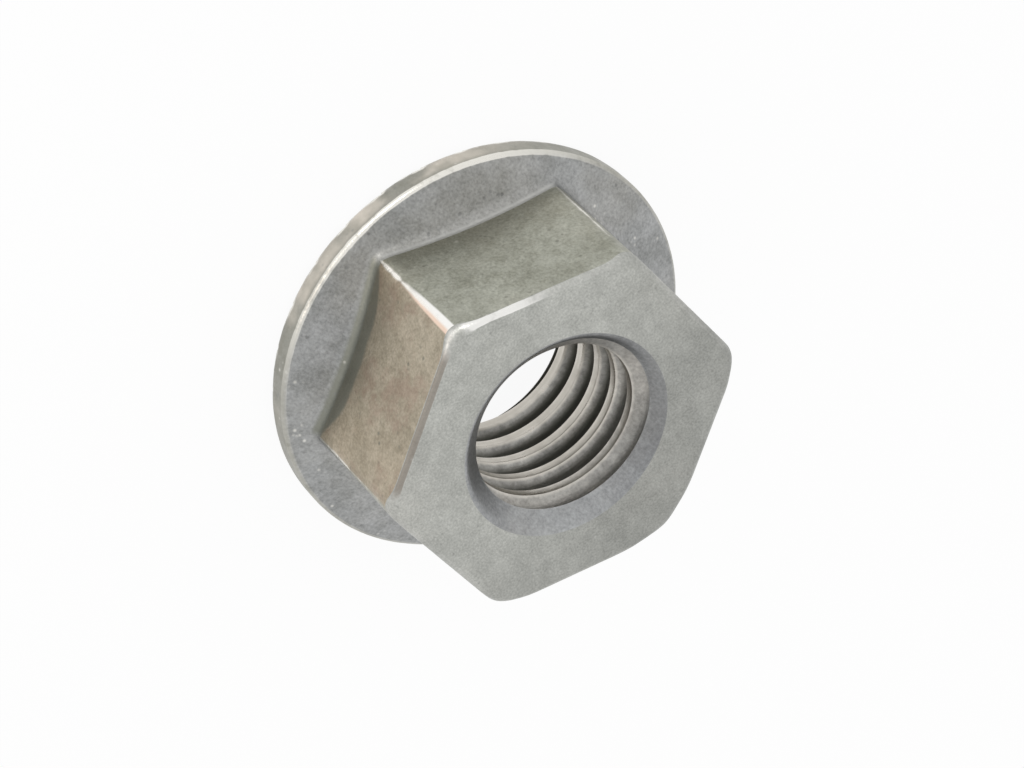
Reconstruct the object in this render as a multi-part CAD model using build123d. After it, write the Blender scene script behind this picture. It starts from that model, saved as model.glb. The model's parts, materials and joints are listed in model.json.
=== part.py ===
from build123d import *
from build123d.topology import SkipClean
import math
import os

# Serrated flange nut for a metric coarse thread, cold forged and tapped in one piece.
# Millimetres. +Z runs along the axis from the bearing face to the hexagon's end,
# and the origin is the centre of the bearing face, on the plane of the tooth lands.

# Thread
MAJOR_DIAMETER = 8.0
MINOR_DIAMETER = 6.75
PITCH = 1.25
FLANK_ANGLE = 30.0
THREAD_START = -0.08  # height of the groove's middle where it crosses the +X direction

# Countersink at each end of the bore
COUNTERSINK_DIAMETER = 8.4
COUNTERSINK_ANGLE = 90.0

# Hexagon
ACROSS_FLATS = 13.0
NUT_HEIGHT = 7.65
CORNER_TRIM_AT_BASE = 0.04
CORNER_TRIM_AT_END = 0.15
CORNER_NOSE_RADIUS = 0.55
END_EDGE_RADIUS = 0.22

# Flange
FLANGE_DIAMETER = 17.0
RIM_HEIGHT = 1.2
FLANGE_SLOPE = 20.0
RIM_LOWER_RADIUS = 0.45
RIM_UPPER_RADIUS = 0.25
JUNCTION_RADIUS = 0.5  # hollow fillet between the cone and the hexagon's sides

# Ratchet serrations on the bearing face
SERRATION_COUNT = 30
SERRATION_DEPTH = 0.3
SERRATION_RAMP = 12.0

# The bore's wall is cut in sectors, which part each turn of the thread's land into strips
BORE_SECTORS = 6

# How far cutters reach past the faces that they cut through
CUT_MARGIN = 1.0
FINE_MARGIN = 0.1

FLAT_DISTANCE = ACROSS_FLATS / 2
CORNER_DISTANCE = FLAT_DISTANCE / math.cos(math.pi / 6)
FLANGE_RADIUS = FLANGE_DIAMETER / 2
BORE_RADIUS = MINOR_DIAMETER / 2
CONE_RISE = math.tan(math.radians(FLANGE_SLOPE))


def closed_face(*points):
    """Flat face inside a closed outline of straight lines."""
    return make_face(Polyline(*points, close=True))


def turned(face):
    """Solid of revolution about Z of a face drawn as (radius, height)."""
    return revolve(Plane.XZ * face, Axis.Z)


def around(shape, count):
    """Copies of a shape in equal steps about Z."""
    return [Rot(0, 0, step * 360 / count) * shape for step in range(count)]


def softened(face, corner, radius):
    """The same face with the vertex nearest a (radius, height) point rounded."""
    vertex = face.vertices().sort_by_distance(Vector(*corner))[0]
    return fillet(vertex, radius)


def forged_hexagon():
    """Hexagon with corners trimmed by a slow cone, a rounded nose and softened end edges."""
    base_radius = CORNER_DISTANCE - CORNER_TRIM_AT_BASE
    end_radius = CORNER_DISTANCE - CORNER_TRIM_AT_END
    outline = closed_face((0, 0), (base_radius, 0), (end_radius, NUT_HEIGHT), (0, NUT_HEIGHT))
    nose = min(CORNER_NOSE_RADIUS, (end_radius - BORE_RADIUS) / 2)
    envelope = turned(softened(outline, (end_radius, NUT_HEIGHT), nose))
    prism = extrude(RegularPolygon(FLAT_DISTANCE, 6, major_radius=False), NUT_HEIGHT)
    hexagon = prism & envelope
    end_face = hexagon.faces().sort_by(Axis.Z)[-1]
    return fillet(end_face.edges().filter_by(GeomType.LINE), END_EDGE_RADIUS)


def flange():
    """Conical flange with a rounded rim, drawn up to the cone's tip inside the hexagon."""
    tip = RIM_HEIGHT + FLANGE_RADIUS * CONE_RISE
    profile = closed_face((0, 0), (FLANGE_RADIUS, 0), (FLANGE_RADIUS, RIM_HEIGHT), (0, tip))
    profile = softened(profile, (FLANGE_RADIUS, 0), RIM_LOWER_RADIUS)
    profile = softened(profile, (FLANGE_RADIUS, RIM_HEIGHT), RIM_UPPER_RADIUS)
    return turned(profile)


def on_junction(edge):
    """Whether an edge lies where the flange's cone meets the hexagon's sides."""
    box = edge.bounding_box()
    highest = RIM_HEIGHT + (FLANGE_RADIUS - FLAT_DISTANCE) * CONE_RISE + FINE_MARGIN
    reach = max(math.hypot(vertex.X, vertex.Y) for vertex in edge.vertices())
    return box.min.Z > RIM_HEIGHT and box.max.Z < highest and reach < CORNER_DISTANCE


def forged_blank():
    """Hexagon and flange as one forging, with a hollow fillet round the hexagon's foot.

    The flats run out on the cone in bows that are highest at the middle of each flat, and
    the corners end in points. A flange with too little cone beside the corners goes without
    the fillet.
    """
    blank = forged_hexagon() + flange()
    turn = (math.pi / 2 - math.radians(FLANGE_SLOPE)) / 2
    trimmed_corner = CORNER_DISTANCE - CORNER_TRIM_AT_BASE
    cone_beside_corner = (FLANGE_RADIUS - trimmed_corner) * math.hypot(1, CONE_RISE)
    room = cone_beside_corner / math.tan(turn) - RIM_UPPER_RADIUS
    if room < FINE_MARGIN:
        return blank
    return fillet(blank.edges().filter_by(on_junction), min(JUNCTION_RADIUS, room))


def countersinks():
    """The two cones that open the bore, each drawn whole from past its face to its tip."""
    slope = math.tan(math.radians(COUNTERSINK_ANGLE / 2))
    tip = COUNTERSINK_DIAMETER / 2 / slope
    mouth = (tip + CUT_MARGIN) * slope
    lower = turned(closed_face((0, -CUT_MARGIN), (mouth, -CUT_MARGIN), (0, tip)))
    return [lower, Pos(0, 0, NUT_HEIGHT) * Rot(180, 0, 0) * lower]


def bore_sectors():
    """The bore at the thread's minor diameter, as equal sectors that meet at the axis."""
    length = NUT_HEIGHT + 2 * CUT_MARGIN
    angle = 360 / BORE_SECTORS
    align = (Align.NONE, Align.NONE, Align.MIN)
    sector = Cylinder(BORE_RADIUS, length, arc_size=angle, align=align)
    return around(Pos(0, 0, -CUT_MARGIN) * sector, BORE_SECTORS)


def thread_turns():
    """The thread's groove as one right-hand helical turn, repeated up through both faces."""
    root = MAJOR_DIAMETER / 2
    inside = BORE_RADIUS - PITCH / 8
    root_half = PITCH / 16
    inside_half = root_half + (root - inside) * math.tan(math.radians(FLANK_ANGLE))
    profile = closed_face(
        (inside, -inside_half), (root, -root_half), (root, root_half), (inside, inside_half)
    )
    turn = sweep(Plane.XZ * profile, path=Helix(PITCH, PITCH, root), is_frenet=True)
    below = math.ceil(THREAD_START / PITCH) + 1
    above = math.ceil((NUT_HEIGHT - THREAD_START) / PITCH) + 1
    return [Pos(0, 0, THREAD_START + step * PITCH) * turn for step in range(-below, above)]


def serration_notches():
    """One ratchet notch for each tooth, cut by a thin block that lies tilted under the flange.

    The block's edge on the axis side of its ramp is the notch's root. It starts on the axis
    at the bearing plane and rises to the full depth at the rim, so each tooth keeps its angle
    from the bore to the rim. The long ramps lead when the nut is tightened, and the steep
    faces bite when it is loosened.
    """
    reach = FLANGE_RADIUS + CUT_MARGIN
    tilt = math.degrees(math.atan2(SERRATION_DEPTH, FLANGE_RADIUS))
    ramp = math.radians(SERRATION_RAMP)
    deepest = reach * SERRATION_DEPTH / FLANGE_RADIUS
    ramp_width = deepest / math.sin(ramp) + FINE_MARGIN
    thickness = deepest / math.cos(ramp) + FINE_MARGIN
    length = reach - BORE_RADIUS
    block = Box(length, ramp_width, thickness, align=(Align.MIN, Align.MIN, Align.MAX))
    block = Rot(0, -tilt, 0) * Rot(-SERRATION_RAMP, 0, 0) * Pos(BORE_RADIUS, 0, 0) * block
    return around(block, SERRATION_COUNT)


def flange_nut():
    """The whole nut."""
    blank = forged_blank() - countersinks() - serration_notches()
    with SkipClean():
        bored = blank.cut(*bore_sectors())
        return bored.cut(*thread_turns())


os.makedirs("parts", exist_ok=True)
export_step(flange_nut(), "parts/flange_nut.step")
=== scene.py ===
import json
import logging
import math
from collections.abc import Callable
from dataclasses import dataclass, field
from enum import Enum
from functools import reduce

import bmesh
import bpy
from mathutils import Matrix, Vector, noise

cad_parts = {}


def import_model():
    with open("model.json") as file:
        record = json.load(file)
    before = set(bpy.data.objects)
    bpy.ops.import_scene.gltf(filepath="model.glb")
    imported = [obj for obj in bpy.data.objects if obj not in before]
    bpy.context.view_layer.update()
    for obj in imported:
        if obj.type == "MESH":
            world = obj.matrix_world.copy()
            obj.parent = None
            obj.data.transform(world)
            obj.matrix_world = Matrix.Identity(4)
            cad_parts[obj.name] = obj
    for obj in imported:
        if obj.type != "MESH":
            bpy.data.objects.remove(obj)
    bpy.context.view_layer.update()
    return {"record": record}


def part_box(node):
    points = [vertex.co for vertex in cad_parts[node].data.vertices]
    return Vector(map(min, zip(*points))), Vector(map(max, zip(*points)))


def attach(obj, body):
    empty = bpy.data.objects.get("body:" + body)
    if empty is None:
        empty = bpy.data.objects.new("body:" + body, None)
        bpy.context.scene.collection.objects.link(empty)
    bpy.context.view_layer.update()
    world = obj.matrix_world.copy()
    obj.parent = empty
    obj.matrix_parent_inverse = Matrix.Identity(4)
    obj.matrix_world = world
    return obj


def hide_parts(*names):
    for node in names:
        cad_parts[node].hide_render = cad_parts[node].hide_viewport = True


LOG = logging.getLogger("flange_nut")

# Lengths are millimetres while a piece is shaped, and its mesh is scaled to metres at the end.
MILLIMETRE = 0.001
NUT_NODE = "flange_nut"
ROOT_BODY = "root"
WEAR_ATTRIBUTE = "worn_edge"
HOLLOW_ATTRIBUTE = "hollow"
CORNER_STEP = math.pi / 3  # from one corner of the hexagon to the next

# In millimetres: how near two points are merged, and the least length that is divided by.
MERGE_DISTANCE = 1e-4
AXIS_MERGE_DISTANCE = 1e-5
LEAST_LENGTH = 1e-6

Place = tuple[float, float, float]
Point = tuple[float, float]
Limits = tuple[float, float]
Section = Callable[[float, float], Point]
Spectrum = tuple[float, float, int]  # a fractal's increment, lacunarity and octaves
Node = bpy.types.Node
Socket = bpy.types.NodeSocket


class Region(Enum):
    """Surfaces of the nut that one step of its making left, by material slot."""

    FLANGE = 0
    SIDES = 1
    END_FACE = 2
    BEARING = 3
    COUNTERSINK = 4
    THREAD = 5


def between(low: float, high: float, share: float) -> float:
    """The value at a share of the way from low to high."""
    return low + (high - low) * share


def eased(low: float, high: float, value: float) -> float:
    """Smooth step from 0 at low to 1 at high."""
    share = min(1.0, max(0.0, (value - low) / (high - low)))
    return share * share * (3.0 - 2.0 * share)


def soft_min(first: float, second: float, width: float) -> float:
    """The smaller of two values, with a rounded change from one to the other.

    Args:
        first: One value.
        second: The other value.
        width: Difference within which the two are blended.

    Returns:
        A value that is never above the smaller one.
    """
    share = min(1.0, max(0.0, 0.5 + 0.5 * (second - first) / width))
    return between(second, first, share) - width * share * (1.0 - share)


def arc(radius: float, turn: float) -> Point:
    """How far an arc has curved inwards and run along after a turn from its start."""
    return radius * (1 - math.cos(turn)), radius * math.sin(turn)


def repeated(form: bmesh.types.BMesh, count: int, step: Matrix) -> None:
    """Repeats a form in equal steps, and joins each copy to the one before.

    Args:
        form: The form, which holds the first copy.
        count: How many copies there are in the end.
        step: The move from one copy to the next.
    """
    geometry = form.verts[:] + form.edges[:] + form.faces[:]
    move = Matrix.Identity(4)
    for _ in range(count - 1):
        move = step @ move
        copy = bmesh.ops.duplicate(form, geom=geometry)["geom"]
        vertices = [item for item in copy if isinstance(item, bmesh.types.BMVert)]
        bmesh.ops.transform(form, matrix=move, verts=vertices)
    bmesh.ops.remove_doubles(form, verts=form.verts, dist=MERGE_DISTANCE)


@dataclass
class Band:
    """A stretch of the nut's section: its number of rows, its surface and its shape.

    The section takes the share of the way along the band and the angle about the axis, and
    gives the distance from the axis and the height. The last field is the share, from 0 to 1,
    by which the band's columns are moved on to the creases of the teeth.
    """

    rows: int
    region: Region
    section: Section
    follows_teeth: float = 0.0


@dataclass
class ForgedBlank:
    """The nut before it is tapped: hexagon, flange, serrations and both countersinks.

    A straight profile is spun about the axis, and each of its rows is then laid on the
    section of the forging at each vertex's own angle.
    """

    flange_radius: float
    height: float
    flat_distance: float = 6.5
    columns: int = 600
    corner_trim_base: float = 0.04
    corner_trim_end: float = 0.15
    corner_softness: float = 0.14
    nose_radii: tuple[float, ...] = (0.5, 0.5, 0.6, 0.85, 0.6, 0.5)
    end_edge_radius: float = 0.22
    rim_height: float = 1.2
    cone_slope: float = math.radians(20.0)
    rim_lower_radius: float = 0.45
    rim_upper_radius: float = 0.25
    junction_radius: float = 0.5
    countersink_radius: float = 4.2
    countersink_edge: float = 0.07
    recess_radius: float = 3.0
    teeth: int = 30
    tooth_depth: float = 0.3
    tooth_ramp: float = math.radians(12.0)
    steep_face: float = math.radians(0.43)

    @property
    def corner_distance(self) -> float:
        """Distance from the axis to a sharp corner of the hexagon."""
        return self.flat_distance / math.cos(CORNER_STEP / 2)

    def off_flat(self, angle: float) -> float:
        """Angle from the middle of the nearest flat; the corners lie at multiples of 60 degrees."""
        return angle % CORNER_STEP - CORNER_STEP / 2

    def wall_radius(self, angle: float, height: float) -> float:
        """Distance from the axis to the hexagon's side, with its corners trimmed by a slow cone.

        Args:
            angle: Angle about the axis.
            height: Height above the bearing plane.

        Returns:
            The distance in millimetres.
        """
        flat = self.flat_distance / math.cos(self.off_flat(angle))
        trim = between(self.corner_trim_base, self.corner_trim_end, height / self.height)
        return soft_min(flat, self.corner_distance - trim, self.corner_softness)

    def nose(self, angle: float) -> float:
        """Radius of the rounded corner nearest to an angle."""
        return self.nose_radii[round(angle / CORNER_STEP) % len(self.nose_radii)]

    def end_rounding(self, angle: float) -> float:
        """Radius between the side and the end face, which grows from the flats to the corners.

        Args:
            angle: Angle about the axis.

        Returns:
            The radius in millimetres.
        """
        wall = self.wall_radius(angle, self.height)
        flat_line = self.flat_distance / math.cos(self.off_flat(angle)) - self.end_edge_radius
        nose_line = self.corner_distance - self.corner_trim_end - self.nose(angle)
        return wall - soft_min(flat_line, nose_line, self.corner_softness)

    def tooth_height(self, radius: float, angle: float) -> float:
        """Height of the serrated face above the bearing plane.

        Args:
            radius: Distance from the axis.
            angle: Angle about the axis.

        Returns:
            The height in millimetres, which is 0 on a land.
        """
        pitch = 2 * math.pi / self.teeth
        turn = angle % pitch
        rise = self.tooth_depth / self.flange_radius
        if turn > pitch - self.steep_face:
            return radius * rise * (turn - pitch + self.steep_face) / self.steep_face
        return max(0.0, radius * (math.cos(turn) * rise - math.sin(turn) * math.tan(self.tooth_ramp)))

    def on_tooth(self, radius: float, height: float, angle: float) -> Point:
        """A point of the underside, lifted where a notch reaches above it."""
        return radius, max(height, self.tooth_height(radius, angle))

    def recess_floor(self, share: float, angle: float) -> Point:
        """Floor of the lower recess, which the tap takes away."""
        return between(0.0, self.recess_radius, share), self.countersink_radius - self.recess_radius

    def lower_countersink(self, share: float, angle: float) -> Point:
        """Cone that opens the bore in the bearing face."""
        radius = between(self.recess_radius, self.countersink_radius, share)
        return self.on_tooth(radius, self.countersink_radius - radius, angle)

    def bearing_face(self, share: float, angle: float) -> Point:
        """Serrated underside of the flange."""
        radius = between(self.countersink_radius, self.flange_radius - self.rim_lower_radius, share)
        return self.on_tooth(radius, 0.0, angle)

    def rim_lower(self, share: float, angle: float) -> Point:
        """Rounding between the underside and the rim."""
        inward, upward = arc(self.rim_lower_radius, (1 - share) * math.pi / 2)
        return self.on_tooth(self.flange_radius - inward, self.rim_lower_radius - upward, angle)

    @property
    def rim_top(self) -> float:
        """Height at which the rim's straight side ends."""
        turn = (math.pi / 2 - self.cone_slope) / 2
        return self.rim_height - self.rim_upper_radius * math.tan(turn)

    def rim_side(self, share: float, angle: float) -> Point:
        """Straight side of the rim."""
        return self.flange_radius, between(self.rim_lower_radius, self.rim_top, share)

    def rim_upper(self, share: float, angle: float) -> Point:
        """Rounding between the rim and the cone."""
        inward, upward = arc(self.rim_upper_radius, share * (math.pi / 2 - self.cone_slope))
        return self.flange_radius - inward, self.rim_top + upward

    def junction(self, share: float, angle: float) -> Point:
        """Hollow fillet between the cone and the hexagon's side.

        Args:
            share: Share of the way along the band.
            angle: Angle about the axis.

        Returns:
            Distance from the axis and height.
        """
        wall = self.wall_radius(angle, self.rim_height)
        hollow = self.junction_radius
        sine, cosine = math.sin(self.cone_slope), math.cos(self.cone_slope)
        centre = wall + hollow
        centre_height = self.rim_height + (hollow - (centre - self.flange_radius) * sine) / cosine
        turn = between(self.cone_slope, math.pi / 2, share)
        return centre - hollow * math.sin(turn), centre_height - hollow * math.cos(turn)

    def cone(self, share: float, angle: float) -> Point:
        """Sloping top of the flange."""
        outer, inner = self.rim_upper(1.0, angle), self.junction(0.0, angle)
        return between(outer[0], inner[0], share), between(outer[1], inner[1], share)

    def side(self, share: float, angle: float) -> Point:
        """Side of the hexagon."""
        height = between(self.junction(1.0, angle)[1], self.height - self.end_rounding(angle), share)
        return self.wall_radius(angle, height), height

    def end_edge(self, share: float, angle: float) -> Point:
        """Rounding between the side and the end face.

        Args:
            share: Share of the way along the band.
            angle: Angle about the axis.

        Returns:
            Distance from the axis and height.
        """
        rounding = self.end_rounding(angle)
        turn = share * math.pi / 2
        wall = self.wall_radius(angle, self.height - rounding)
        return wall - rounding * (1 - math.cos(turn)), self.height - rounding * (1 - math.sin(turn))

    def end_face(self, share: float, angle: float) -> Point:
        """Flat end, from the hexagon's outline in to the countersink's circle."""
        outline = self.end_edge(1.0, angle)[0]
        return between(outline, self.countersink_radius + self.countersink_edge, share), self.height

    def upper_countersink(self, share: float, angle: float) -> Point:
        """Cone that opens the bore in the end face, with a broken edge at its mouth.

        Args:
            share: Share of the way along the band.
            angle: Angle about the axis; not used.

        Returns:
            Distance from the axis and height.
        """
        radius = between(self.countersink_radius + self.countersink_edge, self.recess_radius, share)
        depth = self.countersink_radius - radius
        softness = 2 * self.countersink_edge
        sunk = max(0.0, depth) if abs(depth) > softness else (depth + softness) ** 2 / (4 * softness)
        return radius, self.height - sunk

    def recess_roof(self, share: float, angle: float) -> Point:
        """Floor of the upper recess, which the tap takes away."""
        deep = self.countersink_radius - self.recess_radius
        return between(self.recess_radius, 0.0, share), self.height - deep

    def bands(self) -> list[Band]:
        """The whole section, from the axis below, round the outside, to the axis above.

        Returns:
            The bands in the order in which they meet.
        """
        return [
            Band(1, Region.COUNTERSINK, self.recess_floor, 1.0),
            Band(5, Region.COUNTERSINK, self.lower_countersink, 1.0),
            Band(8, Region.BEARING, self.bearing_face, 1.0),
            Band(7, Region.FLANGE, self.rim_lower, 1.0),
            Band(5, Region.FLANGE, self.rim_side, 0.5),
            Band(6, Region.FLANGE, self.rim_upper),
            Band(9, Region.FLANGE, self.cone),
            Band(8, Region.FLANGE, self.junction),
            Band(24, Region.SIDES, self.side),
            Band(7, Region.END_FACE, self.end_edge),
            Band(14, Region.END_FACE, self.end_face),
            Band(9, Region.COUNTERSINK, self.upper_countersink),
            Band(1, Region.COUNTERSINK, self.recess_roof),
        ]

    def snapped(self, angle: float) -> float:
        """An angle moved so that the nearest columns lie on the creases of a tooth.

        Args:
            angle: Angle about the axis, at one of the blank's even columns.

        Returns:
            The angle at which the section is taken.
        """
        pitch = 2 * math.pi / self.teeth
        step = 2 * math.pi / self.columns
        ramp_end = math.atan(self.tooth_depth / self.flange_radius / math.tan(self.tooth_ramp))
        land_end = pitch - self.steep_face
        creases = [0.0, ramp_end, land_end, pitch]
        marks = [round(crease / step) * step for crease in creases]
        marks[2] = min(marks[2], pitch - step)
        slack = step / 4
        whole, turn = divmod(angle + slack, pitch)
        turn -= slack
        for low, high, start, end in zip(marks, marks[1:], creases, creases[1:]):
            if turn <= high:
                return whole * pitch + between(start, end, (turn - low) / (high - low))
        return angle

    def build(self) -> bmesh.types.BMesh:
        """Spins and shapes the blank.

        Returns:
            A closed form in millimetres, with a material index on each face.
        """
        form = bmesh.new()
        station = form.verts.layers.int.new("station")
        rows = [(band, row / band.rows) for band in self.bands() for row in range(band.rows)]
        rows.append((self.bands()[-1], 1.0))
        line = [form.verts.new((1.0, 0.0, float(number))) for number in range(len(rows))]
        for number, vertex in enumerate(line):
            vertex[station] = number
        edges = [form.edges.new(pair) for pair in zip(line, line[1:])]
        sectors = len(self.nose_radii)
        bmesh.ops.spin(
            form, geom=line + edges, cent=(0, 0, 0), axis=(0, 0, 1), angle=2 * math.pi / sectors,
            steps=self.columns // sectors, use_merge=False,
        )
        repeated(form, sectors, Matrix.Rotation(2 * math.pi / sectors, 4, "Z"))
        for face in form.faces:
            number = min(vertex[station] for vertex in face.verts)
            face.material_index = rows[number][0].region.value
        for vertex in form.verts:
            band, share = rows[vertex[station]]
            angle = math.atan2(vertex.co.y, vertex.co.x) % (2 * math.pi)
            angle = between(angle, self.snapped(angle), band.follows_teeth)
            radius, height = band.section(share, angle)
            vertex.co = (radius * math.cos(angle), radius * math.sin(angle), height)
        bmesh.ops.remove_doubles(form, verts=form.verts, dist=AXIS_MERGE_DISTANCE)
        bmesh.ops.recalc_face_normals(form, faces=form.faces)
        return form


@dataclass
class Tap:
    """The tap's cutting form: a right-hand thread on a core of the bore's minor radius.

    The flat at the root is a share of the pitch, and the flank is an angle.
    """

    minor_radius: float
    length: float
    major_radius: float = 4.0
    pitch: float = 1.25
    start: float = -0.08
    flank: float = math.radians(30.0)
    root_flat: float = 0.125
    columns: int = 160
    flank_rows: int = 5
    spare_turns: int = 2
    softness: float = 0.05

    def section(self) -> list[Point]:
        """One pitch of the thread, from the middle of one land to the next.

        Returns:
            Points as distance from the axis and height above the middle of the groove.
        """
        root_half = self.pitch * self.root_flat / 2
        depth = self.major_radius - self.minor_radius
        land_start = root_half + depth * math.tan(self.flank)
        upper = [(self.major_radius, 0.0), (self.major_radius - self.softness / 4, root_half)]
        for step in range(1, self.flank_rows):
            share = step / self.flank_rows
            upper.append((self.major_radius - depth * share, between(root_half, land_start, share)))
        upper.append((self.minor_radius + self.softness / 4, land_start))
        upper.append((self.minor_radius, land_start + self.softness))
        upper.append((self.minor_radius, self.pitch / 2))
        lower = [(radius, -height) for radius, height in reversed(upper[1:])]
        return lower + upper

    def build(self) -> bmesh.types.BMesh:
        """Spins the section along the helix and closes both ends.

        Returns:
            A closed form in millimetres, longer than the nut at both ends.
        """
        form = bmesh.new()
        turns = math.ceil(self.length / self.pitch) + 2 * self.spare_turns
        lowest = self.start - self.spare_turns * self.pitch
        line = [form.verts.new((radius, 0.0, lowest + height)) for radius, height in self.section()]
        edges = [form.edges.new(pair) for pair in zip(line, line[1:])]
        bmesh.ops.spin(
            form, geom=line + edges, cent=(0, 0, 0), axis=(0, 0, 1),
            dvec=(0, 0, self.pitch / self.columns), angle=2 * math.pi,
            steps=self.columns, use_merge=False,
        )
        repeated(form, turns, Matrix.Translation((0, 0, self.pitch)))
        open_edges = [edge for edge in form.edges if edge.is_boundary]
        ends = bmesh.ops.holes_fill(form, edges=open_edges, sides=0)["faces"]
        bmesh.ops.poke(form, faces=ends)
        for face in form.faces:
            face.material_index = Region.THREAD.value
        bmesh.ops.recalc_face_normals(form, faces=form.faces)
        return form


@dataclass
class FlangeNut:
    """The finished nut: the forged blank after tapping, with the unevenness of its making."""

    blank: ForgedBlank
    tap: Tap
    swell_depth: float = 0.018
    swell_scale: float = 0.45
    swell_offset: Place = (7.0, 3.0, 1.0)
    swell_spectrum: Spectrum = (1.0, 2.0, 2)
    grain_depth: float = 0.007
    end_grain_depth: float = 0.004
    grain_scale: float = 2.6
    grain_spectrum: Spectrum = (0.8, 2.1, 3)
    bend_passes: int = 2
    worn_bends: Limits = (0.25, 2.4)
    hollow_bends: Limits = (0.2, 2.0)
    least_width: float = 1e-3
    sharp_angle: float = math.radians(38.0)

    def build(self) -> bpy.types.Object:
        """Makes the nut as one object.

        Returns:
            The nut in metres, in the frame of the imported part.
        """
        body = self.blank.build()
        self.roughen(body)
        blank_object = self.as_object(body, "blank")
        tap_object = self.as_object(self.tap.build(), "tap")
        cut = blank_object.modifiers.new("bore", "BOOLEAN")
        cut.operation = "DIFFERENCE"
        cut.solver = "MANIFOLD"
        cut.object = tap_object
        bpy.context.view_layer.update()
        graph = bpy.context.evaluated_depsgraph_get()
        mesh = bpy.data.meshes.new_from_object(blank_object.evaluated_get(graph))
        for spare in (blank_object, tap_object):
            bpy.data.objects.remove(spare)
        self.finish(mesh)
        nut = bpy.data.objects.new("threaded_flange_nut", mesh)
        bpy.context.scene.collection.objects.link(nut)
        return nut

    def as_object(self, form: bmesh.types.BMesh, name: str) -> bpy.types.Object:
        """Turns a form into a scene object, and frees the form.

        Args:
            form: The form, in millimetres.
            name: Name of the object and its mesh.

        Returns:
            The object, with an empty material slot for each region.
        """
        mesh = bpy.data.meshes.new(name)
        form.to_mesh(mesh)
        form.free()
        piece = bpy.data.objects.new(name, mesh)
        for _ in Region:
            mesh.materials.append(None)
        bpy.context.scene.collection.objects.link(piece)
        return piece

    def roughen(self, form: bmesh.types.BMesh) -> None:
        """Sinks the forged skin by a fraction of a hair's width, so that no face is perfectly true.

        Points only move inwards, and the bearing plane and the bore stay true.

        Args:
            form: The blank before it is tapped.
        """
        form.normal_update()
        moves = []
        for vertex in form.verts:
            regions = {face.material_index for face in vertex.link_faces}
            if regions & {Region.BEARING.value, Region.COUNTERSINK.value}:
                continue
            place = vertex.co
            there = place * self.swell_scale + Vector(self.swell_offset)
            swell = 0.5 + 0.5 * noise.fractal(there, *self.swell_spectrum)
            grain = 0.5 + 0.5 * noise.fractal(place * self.grain_scale, *self.grain_spectrum)
            if Region.END_FACE.value in regions:
                depth = self.end_grain_depth * grain
            else:
                depth = self.swell_depth * swell + self.grain_depth * grain
            moves.append((vertex, vertex.normal * -max(0.0, depth)))
        for vertex, move in moves:
            vertex.co += move

    def finish(self, mesh: bpy.types.Mesh) -> None:
        """Scales the mesh to metres, marks its edges and hollows, and sets its shading.

        Args:
            mesh: The tapped nut, in millimetres.
        """
        form = bmesh.new()
        form.from_mesh(mesh)
        bmesh.ops.remove_doubles(form, verts=form.verts, dist=MERGE_DISTANCE)
        bmesh.ops.dissolve_degenerate(form, edges=form.edges, dist=MERGE_DISTANCE)
        form.normal_update()
        worn_and_lit = form.verts.layers.float.new(WEAR_ATTRIBUTE)
        hollow = form.verts.layers.float.new(HOLLOW_ATTRIBUTE)
        bends = {vertex: self.bend_at(vertex) for vertex in form.verts}
        for _ in range(self.bend_passes):
            bends = {
                vertex: 0.5 * bend + 0.5 * sum(
                    bends[edge.other_vert(vertex)] for edge in vertex.link_edges
                ) / len(vertex.link_edges)
                for vertex, bend in bends.items()
            }
        for vertex, bend in bends.items():
            vertex[worn_and_lit] = eased(*self.worn_bends, bend)
            vertex[hollow] = eased(*self.hollow_bends, -bend)
        bmesh.ops.scale(form, vec=(MILLIMETRE,) * 3, verts=form.verts)
        for face in form.faces:
            face.smooth = True
        for edge in form.edges:
            if len(edge.link_faces) == 2:
                edge.smooth = edge.calc_face_angle() < self.sharp_angle
        form.to_mesh(mesh)
        form.free()

    def bend_at(self, vertex: bmesh.types.BMVert) -> float:
        """How sharply the surface bends at a vertex, in radians a millimetre.

        Args:
            vertex: A vertex of the form while it is in millimetres.

        Returns:
            A value above zero on outer edges and below zero in hollows.
        """
        total = 0.0
        for edge in vertex.link_edges:
            if len(edge.link_faces) != 2:
                continue
            length = edge.calc_length()
            width = sum(face.calc_area() for face in edge.link_faces) / max(length, LEAST_LENGTH)
            total += edge.calc_face_angle_signed() * 2.0 / max(width, self.least_width) * length
        spread = sum(edge.calc_length() for edge in vertex.link_edges)
        return total / max(spread, LEAST_LENGTH)


@dataclass(frozen=True)
class Colour:
    """A surface colour as linear red, green and blue."""

    red: float
    green: float
    blue: float

    @property
    def rgba(self) -> tuple[float, float, float, float]:
        """The colour with full alpha, as sockets take it."""
        return (self.red, self.green, self.blue, 1.0)


WHITE = Colour(1.0, 1.0, 1.0)


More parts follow.
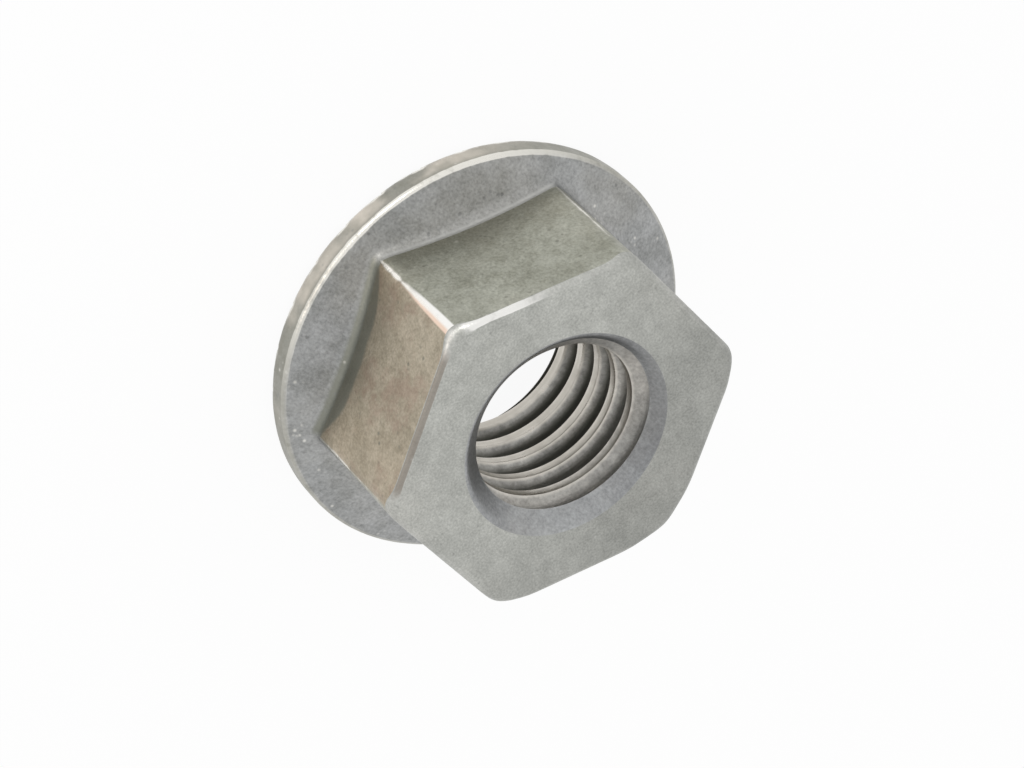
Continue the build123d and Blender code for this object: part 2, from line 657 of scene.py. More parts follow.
class Nodes:
    """Short hand for adding and joining nodes of one tree."""

    def __init__(self, tree: bpy.types.NodeTree) -> None:
        """Keeps the tree."""
        self.tree = tree

    def feed(self, socket: Socket, value: object) -> None:
        """Links an output to an input socket, or sets the socket's own value.

        Args:
            socket: The input socket.
            value: The output socket to link from, or a plain value.
        """
        if isinstance(value, Socket):
            self.tree.links.new(value, socket)
        else:
            socket.default_value = value

    def add(self, kind: str, values: dict[str, object] | None = None, **settings: object) -> Node:
        """Adds a node.

        Args:
            kind: The node's type name, without the ShaderNode prefix.
            values: Plain values or output sockets to link from, by input name or number.
            settings: The node's own settings.

        Returns:
            The node.
        """
        node = self.tree.nodes.new("ShaderNode" + kind)
        for name, value in settings.items():
            setattr(node, name, value)
        for name, value in (values or {}).items():
            self.feed(node.inputs[int(name)] if name.isdigit() else node.inputs[name], value)
        return node

    def group(self, group: bpy.types.NodeTree, values: dict[str, object]) -> Node:
        """Adds a shared group with its own values."""
        return self.add("Group", values, node_tree=group)

    def ramp(self, source: Socket, low: object, high: object) -> Socket:
        """A mask that runs from 0 at low to 1 at high of a value."""
        values = {"Value": source, "From Min": low, "From Max": high}
        return self.add("MapRange", values, interpolation_type="SMOOTHSTEP").outputs[0]

    def maths(self, operation: str, first: object, second: object) -> Socket:
        """The result of one sum on two values or sockets."""
        return self.add("Math", {"0": first, "1": second}, operation=operation).outputs[0]

    def times(self, *parts: object) -> Socket:
        """The product of two or more values or sockets."""
        return reduce(lambda product, part: self.maths("MULTIPLY", product, part), parts)

    def plus(self, *parts: object) -> Socket:
        """The sum of two or more values or sockets."""
        return reduce(lambda total, part: self.maths("ADD", total, part), parts)

    def minus(self, whole: object, part: object) -> Socket:
        """A value or socket less another."""
        return self.maths("SUBTRACT", whole, part)

    def noise(self, place: Socket, scale: object, detail: float, roughness: float) -> Socket:
        """Cloudy noise at a place, about 0.5 on average."""
        values = {"Vector": place, "Scale": scale, "Detail": detail, "Roughness": roughness}
        return self.add("TexNoise", values).outputs["Fac"]

    def along(self, place: Socket, axis: str) -> Socket:
        """One coordinate of a place."""
        return self.add("SeparateXYZ", {"Vector": place}).outputs[axis]

    def off_axis(self, place: Socket) -> Socket:
        """Distance of a place from the Z axis."""
        flat = self.add("VectorMath", {"0": place, "1": (1.0, 1.0, 0.0)}, operation="MULTIPLY")
        return self.add("VectorMath", {"0": flat.outputs["Vector"]}, operation="LENGTH").outputs["Value"]

    def mixed(self, share: object, first: object, second: object, blend: str = "MIX") -> Socket:
        """A colour that changes from the first to the second, or to both blended, with the share."""
        values = {"0": share, "6": first, "7": second}
        return self.add("Mix", values, data_type="RGBA", blend_type=blend).outputs[2]


class GroupNodes(Nodes):
    """Short hand for a new node group, with the sockets that it takes from and gives to."""

    def __init__(self, name: str, takes: dict[str, tuple[str, object]], gives: dict[str, str]) -> None:
        """Starts the group.

        Args:
            name: The group's name.
            takes: Kind and first value of each input socket, by name.
            gives: Kind of each output socket, by name.
        """
        super().__init__(bpy.data.node_groups.new(name, "ShaderNodeTree"))
        new_socket = self.tree.interface.new_socket
        for socket_name, (kind, value) in takes.items():
            socket = new_socket(socket_name, in_out="INPUT", socket_type="NodeSocket" + kind)
            if value is not None:
                socket.default_value = value
        for socket_name, kind in gives.items():
            new_socket(socket_name, in_out="OUTPUT", socket_type="NodeSocket" + kind)
        self.taken = self.tree.nodes.new("NodeGroupInput").outputs
        self.end = self.tree.nodes.new("NodeGroupOutput")

    def finished(self, results: dict[str, Socket]) -> bpy.types.NodeTree:
        """Links the results to the group's outputs.

        Args:
            results: The result for each output socket, by name.

        Returns:
            The group.
        """
        for name, socket in results.items():
            self.feed(self.end.inputs[name], socket)
        return self.tree


@dataclass
class SteelEffects:
    """Node groups that the nut's finishes share, and the numbers that shape them."""

    fine_scale: float = 4.3
    fine_share: float = 0.4
    cloud_limits: Limits = (0.34, 0.66)
    patch_scale: float = 0.45
    patch_limits: Limits = (0.4, 0.72)
    pit_scale: float = 0.35
    pit_limits: Limits = (0.05, 0.34)
    chance_scale: float = 0.31
    speck_limits: Limits = (0.55, 0.68)
    glint_limits: Limits = (0.6, 0.7)
    ring_stretch: float = 0.0004
    ring_slant: float = 0.6
    least_radius: float = 0.001
    mottle: bpy.types.NodeTree = field(init=False)
    grain: bpy.types.NodeTree = field(init=False)
    rings: bpy.types.NodeTree = field(init=False)
    polar: bpy.types.NodeTree = field(init=False)

    def __post_init__(self) -> None:
        """Builds each group once."""
        self.mottle = self.build_mottle()
        self.grain = self.build_grain()
        self.rings = self.build_rings()
        self.polar = self.build_polar()

    def build_mottle(self) -> bpy.types.NodeTree:
        """Cloudy change between a light and a dark tone, with a warm stain in patches.

        Returns:
            The group.
        """
        group = GroupNodes(
            "steel_mottle",
            {
                "Vector": ("Vector", None), "Light": ("Color", (0.4, 0.4, 0.4, 1)),
                "Dark": ("Color", (0.2, 0.2, 0.2, 1)), "Stain": ("Color", (0.4, 0.3, 0.2, 1)),
                "Cloud Scale": ("Float", 500.0), "Stain Amount": ("Float", 0.3),
            },
            {"Color": "Color", "Cloud": "Float"},
        )
        place, scale = group.taken["Vector"], group.taken["Cloud Scale"]
        cloud = group.noise(place, scale, detail=5.0, roughness=0.62)
        fine = group.noise(place, group.times(scale, self.fine_scale), detail=4.0, roughness=0.5)
        both = group.plus(group.times(cloud, 1 - self.fine_share), group.times(fine, self.fine_share))
        mask = group.ramp(both, *self.cloud_limits)
        tone = group.mixed(mask, group.taken["Dark"], group.taken["Light"])
        patch = group.noise(place, group.times(scale, self.patch_scale), detail=3.0, roughness=0.5)
        stain = group.times(group.ramp(patch, *self.patch_limits), group.taken["Stain Amount"])
        return group.finished({"Color": group.mixed(stain, tone, group.taken["Stain"]), "Cloud": mask})

    def build_grain(self) -> bpy.types.NodeTree:
        """Fine pits and specks of a forged or blasted skin.

        Returns:
            The group.
        """
        group = GroupNodes(
            "forged_grain",
            {"Vector": ("Vector", None), "Grain Scale": ("Float", 9000.0), "Pit Amount": ("Float", 0.5)},
            {"Height": "Float", "Speck": "Float", "Glint": "Float"},
        )
        place, scale = group.taken["Vector"], group.taken["Grain Scale"]
        grain = group.noise(place, scale, detail=3.0, roughness=0.6)
        pit_scale = group.times(scale, self.pit_scale)
        cells = group.add("TexVoronoi", {"Vector": place, "Scale": pit_scale}).outputs["Distance"]
        dot = group.minus(1.0, group.ramp(cells, *self.pit_limits))
        chance = group.noise(place, group.times(pit_scale, self.chance_scale), detail=2.0, roughness=0.5)
        speck = group.times(dot, group.ramp(chance, *self.speck_limits))
        glint = group.times(dot, group.ramp(group.minus(1.0, chance), *self.glint_limits))
        sunk = group.times(speck, group.taken["Pit Amount"])
        return group.finished({"Height": group.minus(grain, sunk), "Speck": speck, "Glint": glint})

    def build_rings(self) -> bpy.types.NodeTree:
        """Scratches that run round the axis, as a cutting tool leaves them.

        Returns:
            The group.
        """
        group = GroupNodes(
            "tool_rings", {"Vector": ("Vector", None), "Ring Scale": ("Float", 9000.0)}, {"Height": "Float"},
        )
        start = group.taken["Vector"]
        radius = group.off_axis(start)
        angle = group.maths("ARCTAN2", group.along(start, "Y"), group.along(start, "X"))
        slanted = group.plus(group.along(start, "Z"), group.times(radius, self.ring_slant))
        place = group.add(
            "CombineXYZ", {"X": group.times(angle, self.ring_stretch), "Y": slanted, "Z": radius}
        ).outputs["Vector"]
        lines = group.noise(place, group.taken["Ring Scale"], detail=4.0, roughness=0.7)
        return group.finished({"Height": lines})

    def build_polar(self) -> bpy.types.NodeTree:
        """Where a place lies on the nut.

        Its outputs are the distance from the axis, the heights above the bearing plane and
        above the flange's cone, all in millimetres, and the cosine of the angle to one side.

        Returns:
            The group.
        """
        group = GroupNodes(
            "nut_places",
            {
                "Vector": ("Vector", None), "Rim Height": ("Float", 1.2), "Rim Radius": ("Float", 8.5),
                "Cone Rise": ("Float", 0.364), "Side": ("Vector", (1.0, 0.0, 0.0)),
            },
            {"Radius": "Float", "Above Cone": "Float", "Height": "Float", "Facing": "Float"},
        )
        scaling = {"0": group.taken["Vector"], "Scale": 1 / MILLIMETRE}
        place = group.add("VectorMath", scaling, operation="SCALE").outputs["Vector"]
        radius = group.off_axis(place)
        height = group.along(place, "Z")
        inward = group.minus(group.taken["Rim Radius"], radius)
        cone = group.plus(group.taken["Rim Height"], group.times(inward, group.taken["Cone Rise"]))
        aim = {"0": place, "1": group.taken["Side"]}
        aside = group.add("VectorMath", aim, operation="DOT_PRODUCT").outputs["Value"]
        facing = group.maths("DIVIDE", aside, group.maths("MAXIMUM", radius, self.least_radius))
        above = group.minus(height, cone)
        return group.finished({"Radius": radius, "Above Cone": above, "Height": height, "Facing": facing})


@dataclass
class Canvas:
    """What a finish reads while it colours one material."""

    nodes: Nodes
    effects: SteelEffects
    place: Socket
    edge: Socket

    def polar(self, angle: float = 0.0) -> bpy.types.NodeOutputs:
        """The nut's own places, with Facing measured from an angle about the axis."""
        side = (math.cos(angle), math.sin(angle), 0.0)
        return self.nodes.group(self.effects.polar, {"Vector": self.place, "Side": side}).outputs


@dataclass(frozen=True)
class SteelFinish:
    """Bare carbon steel as one step of the making left it.

    Wear and a painted highlight are strongest towards one angle about the axis, and a painted shade darkens
    the side towards another.
    """

    name: str
    light: Colour
    dark: Colour
    stain: Colour
    # colour of bare worn edges, also used for the painted highlight on the lit side and for the glints
    worn_and_lit: Colour
    cloud_scale: float = 520.0
    stain_amount: float = 0.3
    roughness: float = 0.42
    cloud_polish: float = 0.1
    fleck: float = 0.9
    # painted shade: how far the hollows are darkened
    hollow_shade: float = 0.6
    grain_scale: float = 9000.0
    pit_amount: float = 0.5
    glint_amount: float = 0.3
    bump: float = 0.5
    bump_depth: float = 0.02
    ring_share: float = 0.0
    # wear and painted highlight on the edges; the highlight is strongest towards one angle
    wear_and_highlight: float = 0.9
    wear_limits: Limits = (0.25, 1.0)
    wear_offset: float = 0.6
    wear_polish: float = 0.16
    highlight_start: float = 0.3
    wear_away_from_highlight: float = 0.25
    highlight_angle: float = 0.0
    # painted shade: how much one side of the surface is darkened
    side_shade_amount: float = 0.0
    side_shade_limits: Limits = (-0.3, 0.9)
    side_shade_angle: float = math.pi

    def build(self, effects: SteelEffects) -> bpy.types.Material:
        """Makes the material.

        Args:
            effects: The shared node groups.

        Returns:
            The finished material.
        """
        material = bpy.data.materials.new(self.name)
        material.use_nodes = True
        nodes = Nodes(material.node_tree)
        place = nodes.add("TexCoord").outputs["Object"]
        edge = nodes.add("Attribute", attribute_name=WEAR_ATTRIBUTE).outputs["Fac"]
        canvas = Canvas(nodes, effects, place, edge)
        mottle = nodes.group(effects.mottle, {
            "Vector": place, "Light": self.light.rgba, "Dark": self.dark.rgba, "Stain": self.stain.rgba,
            "Cloud Scale": self.cloud_scale, "Stain Amount": self.stain_amount,
        }).outputs
        grain = nodes.group(effects.grain, {
            "Vector": place, "Grain Scale": self.grain_scale, "Pit Amount": self.pit_amount,
        }).outputs
        zoned = self.zoned(canvas, self.toned(canvas, mottle["Color"], grain["Height"]))
        marked = self.marked(nodes, zoned, grain)
        wear_and_highlight = self.wear_and_highlight_share(canvas, mottle["Cloud"])
        dulled = nodes.minus(self.roughness + self.cloud_polish / 2, nodes.times(wear_and_highlight, self.wear_polish))
        results = {
            "Metallic": 1.0,
            "Base Color": nodes.mixed(wear_and_highlight, marked, self.worn_and_lit.rgba),
            "Roughness": nodes.minus(dulled, nodes.times(mottle["Cloud"], self.cloud_polish)),
            "Normal": self.relief(canvas, grain["Height"]),
        }
        shader = material.node_tree.nodes["Principled BSDF"]
        for name, value in results.items():
            nodes.feed(shader.inputs[name], value)
        return material

    def toned(self, canvas: Canvas, colour: Socket, grain: Socket) -> Socket:
        """The mottled colour, made uneven by the grain, with painted shade on one side.

        Args:
            canvas: The material's nodes and places.
            colour: The mottled colour.
            grain: The height of the grain.

        Returns:
            The toned colour.
        """
        nodes = canvas.nodes
        fleck = nodes.times(nodes.minus(grain, 0.5), self.fleck)
        flecked = nodes.mixed(1.0, colour, nodes.plus(fleck, 1.0), "MULTIPLY")
        side_shade = nodes.ramp(canvas.polar(self.side_shade_angle)["Facing"], *self.side_shade_limits)
        return nodes.mixed(1.0, flecked, nodes.minus(1.0, nodes.times(side_shade, self.side_shade_amount)), "MULTIPLY")

    def zoned(self, canvas: Canvas, colour: Socket) -> Socket:
        """The colour with what depends on the place on the nut, which is nothing on a plain finish."""
        return colour

    def marked(self, nodes: Nodes, colour: Socket, grain: bpy.types.NodeOutputs) -> Socket:
        """The colour with painted shade in the hollows, dark specks and bright glints.

        Args:
            nodes: The material's nodes.
            colour: The colour so far.
            grain: The outputs of the grain group.

        Returns:
            The marked colour.
        """
        hollow = nodes.add("Attribute", attribute_name=HOLLOW_ATTRIBUTE).outputs["Fac"]
        for mask, amount, tone in (
            (hollow, self.hollow_shade, self.dark),
            (grain["Speck"], self.pit_amount, self.dark),
            (grain["Glint"], self.glint_amount, self.worn_and_lit),
        ):
            colour = nodes.mixed(nodes.times(mask, amount), colour, tone.rgba)
        return colour

    def wear_and_highlight_share(self, canvas: Canvas, cloud: Socket) -> Socket:
        """How bare the edges are worn, with a painted highlight that is strongest on one side of the nut.

        Args:
            canvas: The material's nodes and places.
            cloud: The mottle's mask, which breaks up the worn lines.

        Returns:
            A mask of the worn metal and of the painted highlight.
        """
        nodes = canvas.nodes
        # painted highlight: the wear is made stronger on the side that faces the light
        lit_side = nodes.ramp(canvas.polar(self.highlight_angle)["Facing"], self.highlight_start, 1.0)
        wear_toward_highlight = nodes.times(self.wear_and_highlight, nodes.plus(nodes.times(lit_side, 1.0 - self.wear_away_from_highlight), self.wear_away_from_highlight))
        broken = nodes.times(canvas.edge, nodes.plus(cloud, self.wear_offset))
        return nodes.times(nodes.ramp(broken, *self.wear_limits), wear_toward_highlight)

    def relief(self, canvas: Canvas, grain: Socket) -> Socket:
        """The normal with the fine relief of the grain and of any tool rings.

        Args:
            canvas: The material's nodes and places.
            grain: The height of the grain.

        Returns:
            The bumped normal.
        """
        nodes, height = canvas.nodes, grain
        if self.ring_share > 0:
            scaling = {"Vector": canvas.place, "Ring Scale": self.grain_scale}
            rings = nodes.group(canvas.effects.rings, scaling).outputs["Height"]
            height = nodes.add("Mix", {"0": self.ring_share, "2": grain, "3": rings}).outputs[0]
        values = {"Strength": self.bump, "Distance": self.bump_depth * MILLIMETRE, "Height": height}
        return nodes.add("Bump", values).outputs["Normal"]


@dataclass(frozen=True)
class FlangeFinish(SteelFinish):
    """Finish of the flange: an olive rim with painted highlight in streaks, and a hollow with painted
    highlight on one side and painted shade on the other.
    """

    rim: Colour = Colour(0.31, 0.30, 0.24)
    rim_radii: Limits = (8.3, 8.48)
    rim_share: float = 0.6
    # painted highlight: bright streaks on the rim's side towards one angle
    streak_highlight: Colour = Colour(0.92, 0.84, 0.74)
    streak_scale: float = 420.0
    streak_limits: Limits = (0.4, 0.7)
    streak_front: Limits = (0.45, 0.95)
    streak_radii: Limits = (8.36, 8.45)
    streak_heights: Limits = (1.15, 0.8)
    streak_share: float = 0.7
    # painted highlight: a light line in the hollow at the foot of one flat
    gleam: Colour = Colour(0.56, 0.56, 0.54)
    gleam_angle: float = math.radians(-30.0)
    gleam_heights: Limits = (0.1, 0.22)
    gleam_share: float = 0.8
    # painted shade: a dark band in the hollow at the foot of another flat
    shade: Colour = Colour(0.21, 0.215, 0.18)
    shade_angle: float = math.radians(30.0)
    shade_heights: Limits = (-0.02, 0.08)
    shade_share: float = 0.85
    flat_facing: Limits = (0.86, 0.885)

    def zoned(self, canvas: Canvas, colour: Socket) -> Socket:
        """The colour with the rim, its painted highlight streaks, and the painted highlight and painted shade
        of the hollow.

        Args:
            canvas: The material's nodes and places.
            colour: The colour so far.

        Returns:
            The changed colour.
        """
        nodes, ahead = canvas.nodes, canvas.polar()
        rim = nodes.times(nodes.ramp(ahead["Radius"], *self.rim_radii), self.rim_share)
        patches = nodes.noise(canvas.place, self.streak_scale, detail=3.0, roughness=0.5)
        highlight_streaks = nodes.times(
            nodes.ramp(ahead["Facing"], *self.streak_front), nodes.ramp(patches, *self.streak_limits),
            nodes.ramp(ahead["Radius"], *self.streak_radii),
            nodes.ramp(ahead["Height"], *self.streak_heights), self.streak_share,
        )
        streak_highlighted = nodes.mixed(highlight_streaks, nodes.mixed(rim, colour, self.rim.rgba), self.streak_highlight.rgba)
        gleam = self.hollow_side(canvas, self.gleam_angle, self.gleam_heights, self.gleam_share)
        shade = self.hollow_side(canvas, self.shade_angle, self.shade_heights, self.shade_share)
        return nodes.mixed(shade, nodes.mixed(gleam, streak_highlighted, self.gleam.rgba), self.shade.rgba)

    def hollow_side(self, canvas: Canvas, angle: float, heights: Limits, share: float) -> Socket:
        """A mask of the hollow at the foot of one flat, which places the painted highlight on one flat and
        the painted shade on another.

        Args:
            canvas: The material's nodes and places.
            angle: Direction of the flat about the axis.
            heights: Heights above the cone between which the mask sets in.
            share: The mask's highest value.

        Returns:
            The mask.
        """
        nodes, polar = canvas.nodes, canvas.polar(angle)
        above = nodes.ramp(polar["Above Cone"], *heights)
        return nodes.times(above, nodes.ramp(polar["Facing"], *self.flat_facing), share)


@dataclass(frozen=True)
class FlatFinish(SteelFinish):
    """Finish of the hexagon's sides: one flat with a painted warm reflection and painted shade at its foot,
    and one corner with a painted highlight.
    """

    # painted warm reflection on one flat
    warm_reflection: Colour = Colour(1.15, 1.0, 0.91)
    warm_reflection_angle: float = math.radians(30.0)
    warm_reflection_facing: Limits = (0.86, 0.875)
    rust: Colour = Colour(0.34, 0.23, 0.18)
    rust_scale: float = 620.0
    rust_limits: Limits = (0.5, 0.68)
    rust_share: float = 0.4
    # painted shade: a dark band at the foot of the warm flat
    foot_shade: Colour = Colour(0.21, 0.215, 0.18)
    foot_height: float = 1.0
    foot_least: float = 0.25
    foot_bow: float = 0.6
    foot_bow_facing: Limits = (0.866, 0.97)
    foot_noise: float = 0.3
    foot_noise_scale: float = 700.0
    foot_limits: Limits = (0.1, -0.1)
    foot_share: float = 0.85
    # painted highlight: a bright corner that is warm on one side
    corner_highlight: Colour = Colour(0.98, 0.97, 0.94)
    corner_highlight_warm: Colour = Colour(0.90, 0.70, 0.57)
    corner_highlight_heights: Limits = (2.0, 7.2)
    corner_highlight_fade: Limits = (0.05, 0.6)
    corner_highlight_across: Limits = (-0.02 * MILLIMETRE, 0.12 * MILLIMETRE)
    corner_facing: float = 0.99996
    corner_widening: float = 0.00055
    corner_softness: float = 0.0003

    def zoned(self, canvas: Canvas, colour: Socket) -> Socket:
        """The colour with the painted warm reflection on one flat, its faint rust, the painted shade at its
        foot and the painted highlight on the corner.

        Args:
            canvas: The material's nodes and places.
            colour: The colour so far.

        Returns:
            The changed colour.
        """
        nodes = canvas.nodes
        warm_reflection = nodes.ramp(canvas.polar(self.warm_reflection_angle)["Facing"], *self.warm_reflection_facing)
        tinted = nodes.mixed(warm_reflection, colour, self.warm_reflection.rgba, "MULTIPLY")
        blotches = nodes.noise(canvas.place, self.rust_scale, detail=5.0, roughness=0.7)
        rust = nodes.times(nodes.ramp(blotches, *self.rust_limits), warm_reflection, self.rust_share)
        foot_shade = nodes.times(self.foot_mask(canvas), warm_reflection, self.foot_share)
        foot_shaded = nodes.mixed(foot_shade, nodes.mixed(rust, tinted, self.rust.rgba), self.foot_shade.rgba)
        return self.cornered(canvas, foot_shaded)

    def foot_mask(self, canvas: Canvas) -> Socket:
        """A mask of the painted shade, below an uneven bow at the foot of the warm flat.

        Args:
            canvas: The material's nodes and places.

        Returns:
            The mask.
        """
        nodes, polar = canvas.nodes, canvas.polar(self.warm_reflection_angle)
        patches = nodes.noise(canvas.place, self.foot_noise_scale, detail=4.0, roughness=0.6)
        bow = nodes.times(nodes.ramp(polar["Facing"], *self.foot_bow_facing), self.foot_bow)
        top = nodes.times(
            nodes.plus(bow, self.foot_least, nodes.times(patches, self.foot_noise)), self.foot_height
        )
        return nodes.ramp(nodes.minus(polar["Above Cone"], top), *self.foot_limits)

    def cornered(self, canvas: Canvas, colour: Socket) -> Socket:
        """The colour with a painted highlight on one corner, which widens upwards and is warm on one side.

        Args:
            canvas: The material's nodes and places.
            colour: The colour so far.

        Returns:
            The changed colour.
        """
        nodes, polar = canvas.nodes, canvas.polar()
        rise = nodes.ramp(polar["Height"], *self.corner_highlight_heights)
        start = nodes.minus(self.corner_facing, nodes.times(rise, self.corner_widening))
        band = nodes.ramp(polar["Facing"], start, nodes.plus(start, self.corner_softness))
        side = nodes.ramp(nodes.along(canvas.place, "Y"), *self.corner_highlight_across)
        tone = nodes.mixed(side, self.corner_highlight.rgba, self.corner_highlight_warm.rgba)
        return nodes.mixed(nodes.times(band, nodes.ramp(rise, *self.corner_highlight_fade)), colour, tone)


@dataclass(frozen=True)
class EndFinish(SteelFinish):
    """Finish of the end face, with a brown line of painted shade where it meets the warm flat."""

    # painted shade: a brown line along the edge next to the warm flat
    line: Colour = Colour(0.19, 0.155, 0.12)
    line_angle: float = math.radians(30.0)
    line_facing: Limits = (0.885, 0.93)
    line_edge: Limits = (0.5, 1.0)
    line_share: float = 0.75

    def zoned(self, canvas: Canvas, colour: Socket) -> Socket:
        """The colour with the brown line of painted shade.

        Args:
            canvas: The material's nodes and places.
            colour: The colour so far.

        Returns:
            The changed colour.
        """
        nodes = canvas.nodes
        facing = nodes.ramp(canvas.polar(self.line_angle)["Facing"], *self.line_facing)
        share = nodes.times(facing, nodes.ramp(canvas.edge, *self.line_edge), self.line_share)
        return nodes.mixed(share, colour, self.line.rgba)


@dataclass(frozen=True)
class ThreadFinish(SteelFinish):
    """Finish of the thread: a warm painted highlight on the crests, and painted shade in the grooves that
    deepens away from the end face.
    """

    # painted shade: dark grooves, deeper inside the bore
    groove: Colour = Colour(0.12, 0.12, 0.10)
    groove_radii: Limits = (3.475, 3.8)
    groove_share: float = 0.9
    # painted highlight: warm bright crests
    crest: Colour = Colour(0.60, 0.565, 0.505)
    crest_radii: Limits = (3.515, 3.395)
    crest_least: float = 0.35
    crest_gain: float = 0.5
    inner_heights: Limits = (6.6, 4.6)

    def zoned(self, canvas: Canvas, colour: Socket) -> Socket:
        """The colour with painted highlight on the crests and painted shade that grows with the depth below
        them.

        Args:
            canvas: The material's nodes and places.
            colour: The colour so far.

        Returns:
            The changed colour.
        """
        nodes, polar = canvas.nodes, canvas.polar()
        inside = nodes.ramp(polar["Height"], *self.inner_heights)
        depth = nodes.times(nodes.ramp(polar["Radius"], *self.groove_radii), inside, self.groove_share)
        groove_shaded = nodes.mixed(depth, colour, self.groove.rgba)
        crest = nodes.ramp(polar["Radius"], *self.crest_radii)
        gain = nodes.plus(nodes.times(inside, self.crest_gain), self.crest_least)
        return nodes.mixed(nodes.times(crest, gain), groove_shaded, self.crest.rgba)


def steel_finishes() -> dict[Region, SteelFinish]:
    """The finish of each surface of the nut.

    Returns:
        Finishes by region.
    """
    return {
        Region.FLANGE: FlangeFinish(
            "forged_flange", Colour(0.39, 0.395, 0.395), Colour(0.29, 0.295, 0.29), Colour(0.36, 0.34, 0.29),
            Colour(0.88, 0.86, 0.80), stain_amount=0.3, wear_and_highlight=0.9, hollow_shade=0.0, glint_amount=0.6, highlight_start=0.4,
            wear_away_from_highlight=0.2, highlight_angle=math.radians(-15.0),
        ),
        Region.SIDES: FlatFinish(
            "forged_sides", Colour(0.41, 0.415, 0.355), Colour(0.29, 0.292, 0.24), Colour(0.36, 0.33, 0.26),
            Colour(0.95, 0.92, 0.86), roughness=0.36, wear_and_highlight=1.0, hollow_shade=0.2, highlight_start=0.9, wear_away_from_highlight=0.65,
        ),
        Region.END_FACE: EndFinish(
            "pressed_end", Colour(0.475, 0.48, 0.45), Colour(0.395, 0.4, 0.375), Colour(0.44, 0.425, 0.39),
            Colour(0.92, 0.91, 0.88), cloud_scale=420.0, stain_amount=0.2, roughness=0.45, wear_and_highlight=0.9, hollow_shade=0.4,
            grain_scale=11000.0, pit_amount=0.35, glint_amount=0.15, bump=0.4, highlight_start=0.93, wear_away_from_highlight=0.1,
            highlight_angle=math.radians(-12.0), side_shade_amount=0.22, side_shade_angle=math.radians(-160.0),
        ),
        Region.BEARING: SteelFinish(
            "serrated_bearing", Colour(0.42, 0.42, 0.40), Colour(0.29, 0.29, 0.27), Colour(0.38, 0.34, 0.27),
            Colour(0.80, 0.79, 0.75), cloud_scale=600.0, roughness=0.4, pit_amount=0.4, bump=0.4,
        ),
        Region.COUNTERSINK: SteelFinish(
            "turned_countersink", Colour(0.38, 0.39, 0.395), Colour(0.30, 0.305, 0.31),
            Colour(0.38, 0.37, 0.35), Colour(0.75, 0.75, 0.72), cloud_scale=600.0, roughness=0.36,
            wear_and_highlight=0.3, hollow_shade=0.3, pit_amount=0.2, glint_amount=0.0, ring_share=0.8, side_shade_amount=0.28,
            side_shade_angle=math.radians(-105.0),
        ),
        Region.THREAD: ThreadFinish(
            "tapped_thread", Colour(0.44, 0.43, 0.405), Colour(0.29, 0.285, 0.27), Colour(0.42, 0.38, 0.33),
            Colour(0.72, 0.69, 0.63), cloud_scale=700.0, roughness=0.36, wear_and_highlight=0.3, hollow_shade=0.3,
            grain_scale=8000.0, pit_amount=0.3, glint_amount=0.0, ring_share=0.7, wear_away_from_highlight=1.0,
        ),
    }


@dataclass(frozen=True)
class Lamp:
    """A square soft lamp that faces the nut, in millimetres and milliwatts."""

    name: str
    place: Place
    width: float
    power: float
    colour: Colour = WHITE


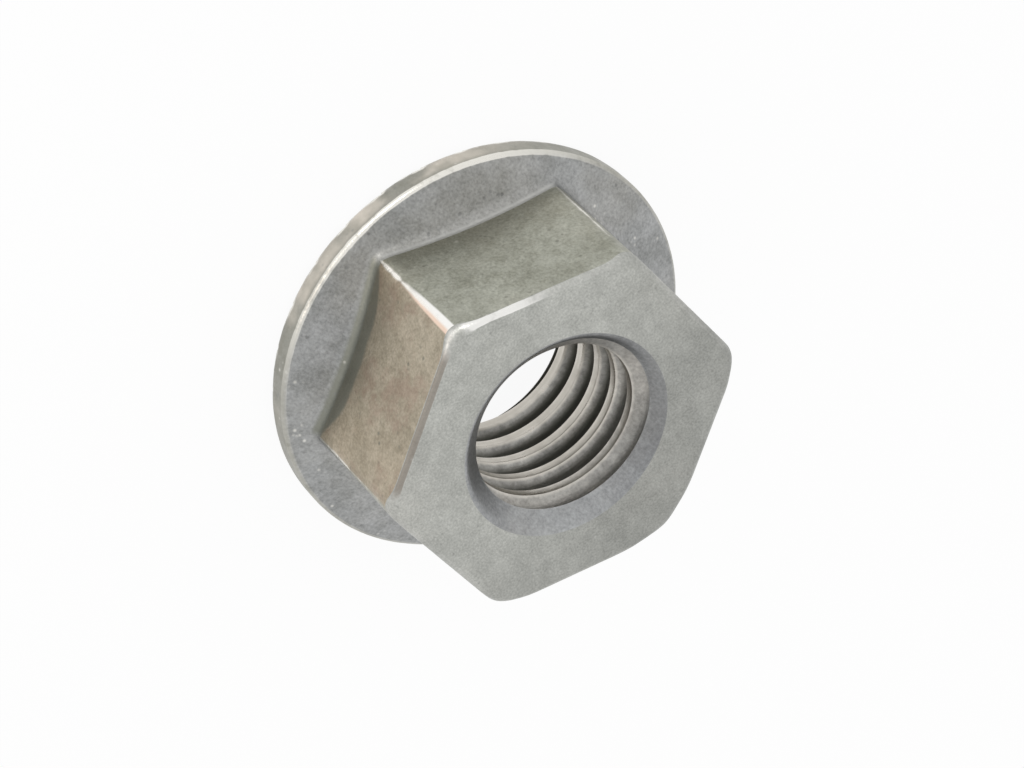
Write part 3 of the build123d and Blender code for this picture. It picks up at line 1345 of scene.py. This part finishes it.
@dataclass
class Studio:
    """White floor, soft lamps and the camera, in millimetres."""

    camera_place: Place = (101.476, -3.904, 113.931)
    camera_aim: Place = (0.135, 0.0864, 3.679)
    camera_roll: float = 134.948
    camera_lens: float = 140.625
    clip_limits: Limits = (1.0, 10000.0)
    sensor_width: float = 36.0
    floor_half_width: float = 900.0
    floor_colour: Colour = Colour(0.82, 0.82, 0.82)
    floor_glow: float = 0.93
    world_strength: float = 0.95
    lamps: tuple[Lamp, ...] = (
        Lamp("overhead_softbox", (-70.0, 20.0, 130.0), 120.0, 3.2, Colour(0.97, 0.98, 1.0)),
        Lamp("side_softbox", (110.0, -25.0, 30.0), 40.0, 16.0, Colour(1.0, 0.98, 0.95)),
        Lamp("warm_softbox", (95.0, 50.0, 26.0), 40.0, 9.0, Colour(1.0, 0.90, 0.82)),
    )

    def build(self) -> None:
        """Makes the camera, the floor, the world and the lamps."""
        self.set_camera()
        self.set_floor()
        self.set_world()
        for lamp in self.lamps:
            self.add_lamp(lamp)

    def set_camera(self) -> None:
        """Puts the camera above the hexagon's end, rolled so that the axis runs down to the right."""
        data = bpy.data.cameras.new("camera")
        data.sensor_width = self.sensor_width
        data.lens = self.camera_lens
        data.clip_start = self.clip_limits[0] * MILLIMETRE
        data.clip_end = self.clip_limits[1] * MILLIMETRE
        camera = bpy.data.objects.new("camera", data)
        place, aim = Vector(self.camera_place), Vector(self.camera_aim)
        look = (aim - place).to_track_quat("-Z", "Y").to_matrix()
        turn = look @ Matrix.Rotation(math.radians(self.camera_roll), 3, "Z")
        camera.matrix_world = Matrix.Translation(place * MILLIMETRE) @ turn.to_4x4()
        bpy.context.scene.collection.objects.link(camera)
        bpy.context.scene.camera = camera

    def set_floor(self) -> None:
        """Makes the white floor under the bearing face, which keeps a soft shadow."""
        form = bmesh.new()
        half = self.floor_half_width * MILLIMETRE
        bmesh.ops.create_grid(form, x_segments=1, y_segments=1, size=half)
        mesh = bpy.data.meshes.new("floor")
        form.to_mesh(mesh)
        form.free()
        material = bpy.data.materials.new("white_floor")
        material.use_nodes = True
        nodes = Nodes(material.node_tree)
        material.node_tree.nodes.clear()
        share = nodes.times(self.seen_directly(nodes), self.floor_glow)
        matt = nodes.add("BsdfDiffuse", {"Color": self.floor_colour.rgba})
        glow = nodes.add("Emission", {"Color": WHITE.rgba, "Strength": 1.0})
        both = nodes.add("MixShader", {"0": share, "1": matt.outputs[0], "2": glow.outputs[0]})
        nodes.add("OutputMaterial", {"Surface": both.outputs[0]})
        mesh.materials.append(material)
        floor = bpy.data.objects.new("floor", mesh)
        bpy.context.scene.collection.objects.link(floor)

    def seen_directly(self, nodes: Nodes) -> Socket:
        """A mask of the rays that show a background: from the camera, in metal and through glass.

        Args:
            nodes: Nodes of the material that uses the mask.

        Returns:
            The mask.
        """
        path = nodes.add("LightPath").outputs
        mirrored = nodes.maths("MAXIMUM", path["Is Glossy Ray"], path["Is Transmission Ray"])
        return nodes.maths("MAXIMUM", path["Is Camera Ray"], mirrored)

    def set_world(self) -> None:
        """Lights everything softly from all round, and shows white to the camera."""
        world = bpy.data.worlds.new("studio")
        world.use_nodes = True
        nodes = Nodes(world.node_tree)
        back = world.node_tree.nodes["Background"]
        seen = nodes.add("LightPath").outputs["Is Camera Ray"]
        level = nodes.add("MapRange", {"Value": seen, "To Min": self.world_strength, "To Max": 1.0})
        nodes.feed(back.inputs["Color"], WHITE.rgba)
        nodes.feed(back.inputs["Strength"], level.outputs[0])
        bpy.context.scene.world = world

    def add_lamp(self, lamp: Lamp) -> None:
        """Adds one lamp, turned to the nut.

        Args:
            lamp: The lamp to add.
        """
        data = bpy.data.lights.new(lamp.name, "AREA")
        data.size = lamp.width * MILLIMETRE
        data.energy = lamp.power * MILLIMETRE
        data.color = lamp.colour.rgba[:3]
        light = bpy.data.objects.new(lamp.name, data)
        centre = Vector(lamp.place)
        turn = (Vector(self.camera_aim) - centre).to_track_quat("-Z", "Y").to_matrix().to_4x4()
        light.matrix_world = Matrix.Translation(centre * MILLIMETRE) @ turn
        bpy.context.scene.collection.objects.link(light)


def main() -> None:
    """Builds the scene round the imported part."""
    logging.basicConfig(level=logging.INFO, format="%(name)s: %(message)s")
    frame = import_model()
    bpy.context.scene.view_settings.view_transform = "Standard"
    low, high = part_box(NUT_NODE)
    thread = next(mount for mount in frame["record"]["mounts"] if mount["name"] == "thread")
    height = (high.z - low.z) / MILLIMETRE
    nut_maker = FlangeNut(
        ForgedBlank(flange_radius=(high.x - low.x) / 2 / MILLIMETRE, height=height),
        Tap(minor_radius=thread["dims"]["r_mm"], length=height),
    )
    nut = nut_maker.build()
    effects = SteelEffects()
    for region, finish in steel_finishes().items():
        nut.data.materials[region.value] = finish.build(effects)
    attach(nut, ROOT_BODY)
    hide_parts(NUT_NODE)
    LOG.info("%s: %d faces, %d triangles", nut.name, len(nut.data.polygons),
             sum(len(face.vertices) - 2 for face in nut.data.polygons))
    Studio().build()


if __name__ == "__main__":
    main()
